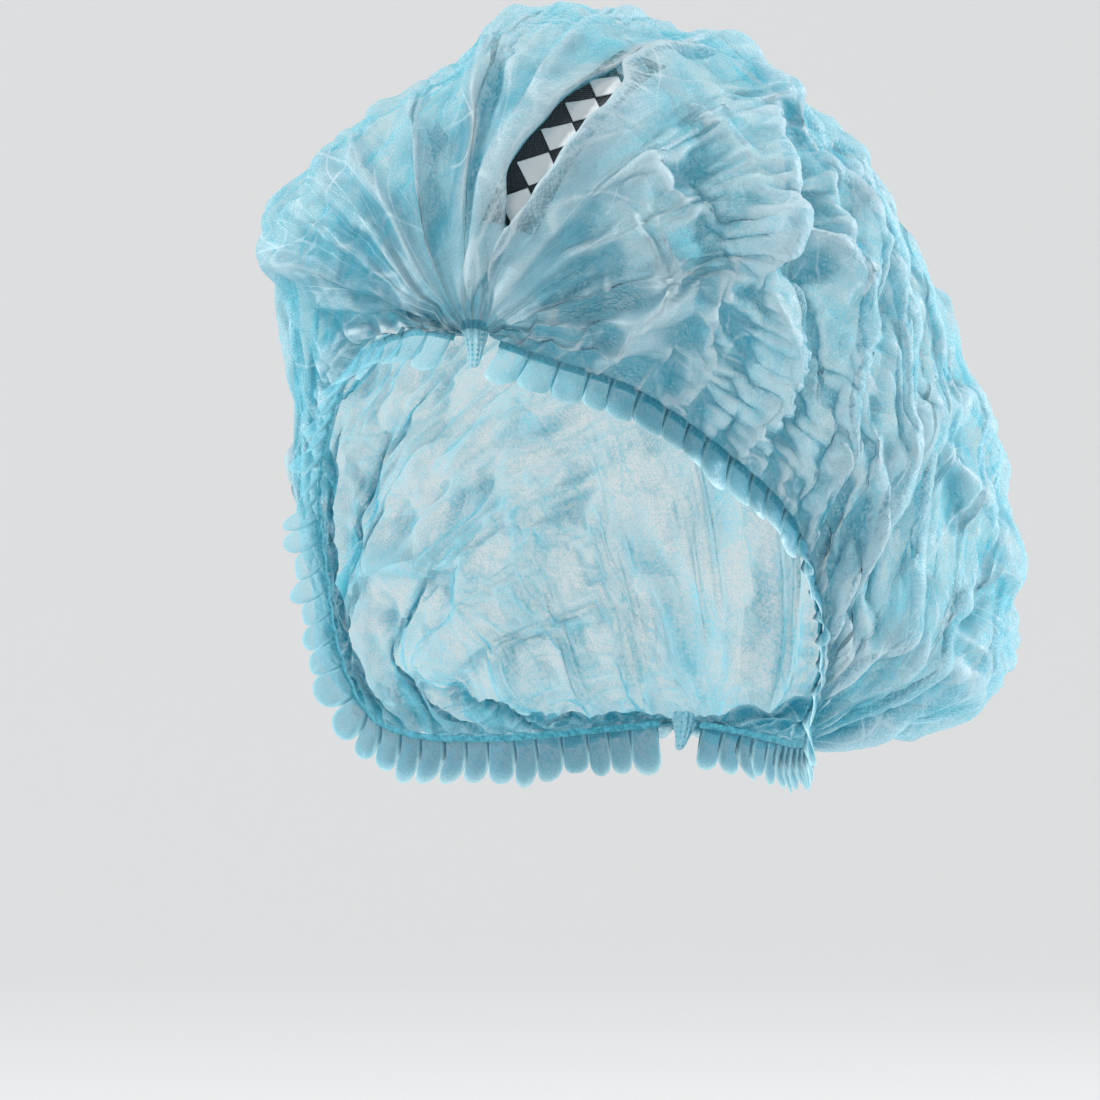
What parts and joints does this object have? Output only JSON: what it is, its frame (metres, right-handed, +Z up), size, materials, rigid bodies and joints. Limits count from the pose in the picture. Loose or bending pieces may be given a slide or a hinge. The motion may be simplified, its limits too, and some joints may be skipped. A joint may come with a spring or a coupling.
{
  "type": "metal detectable hair cap",
  "caption": "Loose blue non-woven hair cap, pleated to a weld at front and nape, with elasticated frilled edges and a metal-tiled detectable strip.",
  "frame": {"origin": "middle of the head opening, halfway between the front weld and the nape weld along Y", "axes": "+Z up, the wearer faces along -Y, +X is the wearer's left"},
  "size_m": [0.2048, 0.2674, 0.2285],
  "materials": {
    "crown": "thin translucent blue non-woven polypropylene",
    "frill": "the same non-woven cloth, gathered and doubled",
    "elastic": "thin flat elastic seen through the hem",
    "weld": "pressed and fused non-woven cloth",
    "strip": "dark woven carrier strip",
    "tile": "thin white-coated metal"
  },
  "bodies": {
    "root": {"crown": "crown", "frill_left": "frill", "frill_right": "frill", "elastic_left": "elastic", "elastic_right": "elastic", "front_weld": "weld", "nape_weld": "weld", "detectable_strip": "strip", "metal_tile_1": "tile", "metal_tile_2": "tile", "metal_tile_3": "tile", "metal_tile_4": "tile", "metal_tile_5": "tile", "metal_tile_6": "tile"}
  },
  "joints": []
}
